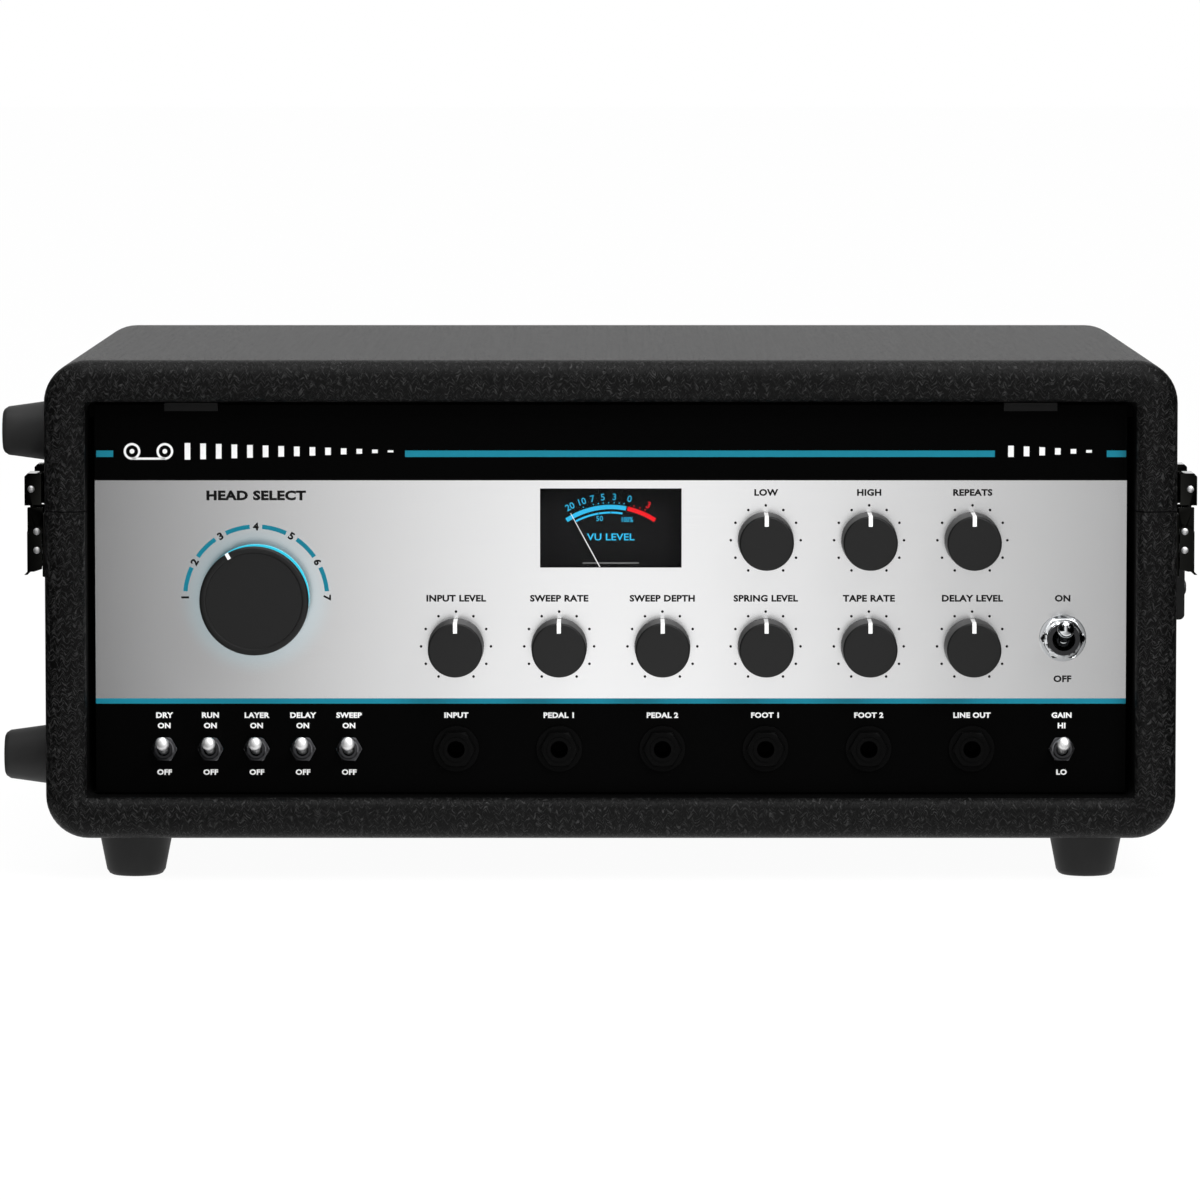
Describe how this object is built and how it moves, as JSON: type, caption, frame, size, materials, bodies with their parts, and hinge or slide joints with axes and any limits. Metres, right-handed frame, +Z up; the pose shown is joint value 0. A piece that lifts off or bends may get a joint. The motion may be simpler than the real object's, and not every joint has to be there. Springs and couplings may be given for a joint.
{
  "type": "tape echo unit",
  "caption": "Vinyl covered tape echo unit: lift-off lid with draw latches, panel of knobs, toggles and jacks, level meter, tape deck with endless loop and a spring reverb inside.",
  "frame": {"origin": "under the middle of the case, on the plane of the bottom feet", "axes": "+X to the right seen from the front, +Y to the back, +Z up"},
  "size_m": [0.4507, 0.3212, 0.194],
  "materials": {
    "vinyl_case": "textured black vinyl over plywood",
    "rubber": "moulded satin rubber",
    "steel": "nickel plated and zinc plated sheet",
    "black_hardware": "black moulded plastic",
    "strap": "black leatherette over a spring strip",
    "faceplate": "brushed, with printed black and teal bands",
    "chrome": "polished chrome",
    "knob_plastic": "satin black",
    "glow": "lit cyan light guide",
    "clear": "clear acrylic",
    "board": "green solder mask",
    "needle": "white",
    "polished_steel": "ground steel",
    "roller_rubber": "ground rubber",
    "tape": "oxide coated polyester tape",
    "tank_plastic": "smoked moulded plastic"
  },
  "bodies": {
    "case": {"bottom_feet": "rubber", "capstan_motor": "black_hardware", "case_base": "vinyl_case", "chassis_tray": "steel", "control_board": "board", "deck_plate": "steel", "drive_belt": "black_hardware", "faceplate": "faceplate", "feet_screws": "steel", "front_jacks": "black_hardware", "glow_ring": "glow", "handle_caps": "black_hardware", "latch_plates": "steel", "main_board": "board", "mains_transformer": "steel", "meter_housing": "black_hardware", "meter_window": "clear", "mode_switch": "black_hardware", "pot_bodies": "black_hardware", "rear_connectors": "black_hardware", "rear_panel": "steel", "reverb_pan": "steel", "reverb_springs": "steel", "side_feet": "rubber", "tank_cover": "clear", "tape_guides": "polished_steel", "tape_heads": "polished_steel", "tape_loop": "tape", "tape_tank": "tank_plastic", "toggle_bodies": "chrome"},
    "handle_strap": {"handle_strap": "strap"},
    "mode_knob": {"mode_knob": "knob_plastic"},
    "input_knob": {"input_knob": "knob_plastic"},
    "mod_rate_knob": {"mod_rate_knob": "knob_plastic"},
    "mod_depth_knob": {"mod_depth_knob": "knob_plastic"},
    "reverb_knob": {"reverb_knob": "knob_plastic"},
    "tape_speed_knob": {"tape_speed_knob": "knob_plastic"},
    "echo_knob": {"echo_knob": "knob_plastic"},
    "bass_knob": {"bass_knob": "knob_plastic"},
    "treble_knob": {"treble_knob": "knob_plastic"},
    "repeat_knob": {"repeat_knob": "knob_plastic"},
    "direct_switch_lever": {"direct_switch_lever": "chrome"},
    "motor_switch_lever": {"motor_switch_lever": "chrome"},
    "layer_switch_lever": {"layer_switch_lever": "chrome"},
    "delay_switch_lever": {"delay_switch_lever": "chrome"},
    "mod_switch_lever": {"mod_switch_lever": "chrome"},
    "level_switch_lever": {"level_switch_lever": "chrome"},
    "power_lever": {"power_lever": "chrome"},
    "meter_needle": {"meter_needle": "needle"},
    "capstan": {"capstan": "polished_steel"},
    "motor_pulley": {"motor_pulley": "polished_steel"},
    "pinch_arm": {"pinch_arm": "polished_steel"},
    "pinch_roller": {"pinch_roller": "roller_rubber"},
    "lid": {"lid": "vinyl_case", "lid_side_feet": "rubber", "latch_keepers": "steel"},
    "latch_levers_right": {"latch_levers_right": "steel"},
    "latch_claws_right": {"latch_claws_right": "steel"},
    "latch_levers_left": {"latch_levers_left": "steel"},
    "latch_claws_left": {"latch_claws_left": "steel"}
  },
  "joints": [
    {"name": "mode_turn", "type": "hinge", "parent": "case", "child": "mode_knob", "pos_m": [-0.1319, -0.142, 0.1053], "axis": [0, 1, 0], "range_deg": [-60, 120]},
    {"name": "input_turn", "type": "hinge", "parent": "case", "child": "input_knob", "pos_m": [-0.0576, -0.142, 0.087], "axis": [0, 1, 0], "range_deg": [-150, 150]},
    {"name": "mod_rate_turn", "type": "hinge", "parent": "case", "child": "mod_rate_knob", "pos_m": [-0.0192, -0.142, 0.087], "axis": [0, 1, 0], "range_deg": [-150, 150]},
    {"name": "mod_depth_turn", "type": "hinge", "parent": "case", "child": "mod_depth_knob", "pos_m": [0.0192, -0.142, 0.087], "axis": [0, 1, 0], "range_deg": [-150, 150]},
    {"name": "reverb_turn", "type": "hinge", "parent": "case", "child": "reverb_knob", "pos_m": [0.0576, -0.142, 0.087], "axis": [0, 1, 0], "range_deg": [-150, 150]},
    {"name": "tape_speed_turn", "type": "hinge", "parent": "case", "child": "tape_speed_knob", "pos_m": [0.096, -0.142, 0.087], "axis": [0, 1, 0], "range_deg": [-150, 150]},
    {"name": "echo_turn", "type": "hinge", "parent": "case", "child": "echo_knob", "pos_m": [0.1344, -0.142, 0.087], "axis": [0, 1, 0], "range_deg": [-150, 150]},
    {"name": "bass_turn", "type": "hinge", "parent": "case", "child": "bass_knob", "pos_m": [0.0576, -0.142, 0.1266], "axis": [0, 1, 0], "range_deg": [-150, 150]},
    {"name": "treble_turn", "type": "hinge", "parent": "case", "child": "treble_knob", "pos_m": [0.096, -0.142, 0.1266], "axis": [0, 1, 0], "range_deg": [-150, 150]},
    {"name": "repeat_turn", "type": "hinge", "parent": "case", "child": "repeat_knob", "pos_m": [0.1344, -0.142, 0.1266], "axis": [0, 1, 0], "range_deg": [-150, 150]},
    {"name": "power_toggle", "type": "hinge", "parent": "case", "child": "power_lever", "pos_m": [0.1681, -0.146, 0.0902], "axis": [1, 0, 0], "range_deg": [0, 32]},
    {"name": "direct_switch_toggle", "type": "hinge", "parent": "case", "child": "direct_switch_lever", "pos_m": [-0.1663, -0.145, 0.0488], "axis": [1, 0, 0], "range_deg": [0, 32]},
    {"name": "motor_switch_toggle", "type": "hinge", "parent": "case", "child": "motor_switch_lever", "pos_m": [-0.1491, -0.145, 0.0488], "axis": [1, 0, 0], "range_deg": [0, 32]},
    {"name": "layer_switch_toggle", "type": "hinge", "parent": "case", "child": "layer_switch_lever", "pos_m": [-0.1319, -0.145, 0.0488], "axis": [1, 0, 0], "range_deg": [0, 32]},
    {"name": "delay_switch_toggle", "type": "hinge", "parent": "case", "child": "delay_switch_lever", "pos_m": [-0.1147, -0.145, 0.0488], "axis": [1, 0, 0], "range_deg": [0, 32]},
    {"name": "mod_switch_toggle", "type": "hinge", "parent": "case", "child": "mod_switch_lever", "pos_m": [-0.0975, -0.145, 0.0488], "axis": [1, 0, 0], "range_deg": [0, 32]},
    {"name": "level_switch_toggle", "type": "hinge", "parent": "case", "child": "level_switch_lever", "pos_m": [0.1679, -0.145, 0.0488], "axis": [1, 0, 0], "range_deg": [0, 32]},
    {"name": "needle_swing", "type": "hinge", "parent": "case", "child": "meter_needle", "pos_m": [0, -0.137, 0.1087], "axis": [0, 1, 0], "range_deg": [-5.5, 62.5]},
    {"name": "lid_lift", "type": "slide", "parent": "case", "child": "lid", "axis": [0, 0, 1], "range_m": [0, 0.06]},
    {"name": "levers_right", "type": "hinge", "parent": "case", "child": "latch_levers_right", "pos_m": [0.2132, 0, 0.13], "axis": [0, -1, 0], "range_deg": [0, 55]},
    {"name": "claws_right", "type": "hinge", "parent": "latch_levers_right", "child": "latch_claws_right", "pos_m": [0.2132, 0, 0.123], "axis": [0, 1, 0], "range_deg": [0, 85]},
    {"name": "levers_left", "type": "hinge", "parent": "case", "child": "latch_levers_left", "pos_m": [-0.2132, 0, 0.13], "axis": [0, 1, 0], "range_deg": [0, 55]},
    {"name": "claws_left", "type": "hinge", "parent": "latch_levers_left", "child": "latch_claws_left", "pos_m": [-0.2132, 0, 0.123], "axis": [0, -1, 0], "range_deg": [0, 85]},
    {"name": "strap_pull", "type": "slide", "parent": "case", "child": "handle_strap", "axis": [1, 0, 0], "range_m": [0, 0.001]},
    {"name": "capstan_spin", "type": "hinge", "parent": "case", "child": "capstan", "pos_m": [0.095, -0.0585, 0.144], "axis": [0, 0, 1], "continuous": true},
    {"name": "motor_spin", "type": "hinge", "parent": "case", "child": "motor_pulley", "pos_m": [-0.017, -0.0585, 0.125], "axis": [0, 0, 1], "continuous": true},
    {"name": "pinch_open", "type": "hinge", "parent": "case", "child": "pinch_arm", "pos_m": [0.14, -0.082, 0.144], "axis": [0, 0, 1], "range_deg": [0, 14]},
    {"name": "pinch_spin", "type": "hinge", "parent": "pinch_arm", "child": "pinch_roller", "pos_m": [0.095, -0.0725, 0.155], "axis": [0, 0, 1], "continuous": true}
  ],
  "couplings": [
    {"joint": "levers_right", "follows": "lid_lift", "rad_per_m": 15.99},
    {"joint": "claws_right", "follows": "lid_lift", "rad_per_m": 24.72},
    {"joint": "levers_left", "follows": "lid_lift", "rad_per_m": 15.99},
    {"joint": "claws_left", "follows": "lid_lift", "rad_per_m": 24.72},
    {"joint": "motor_spin", "follows": "capstan_spin", "ratio": 6.4286},
    {"joint": "pinch_spin", "follows": "capstan_spin", "ratio": -0.3}
  ]
}
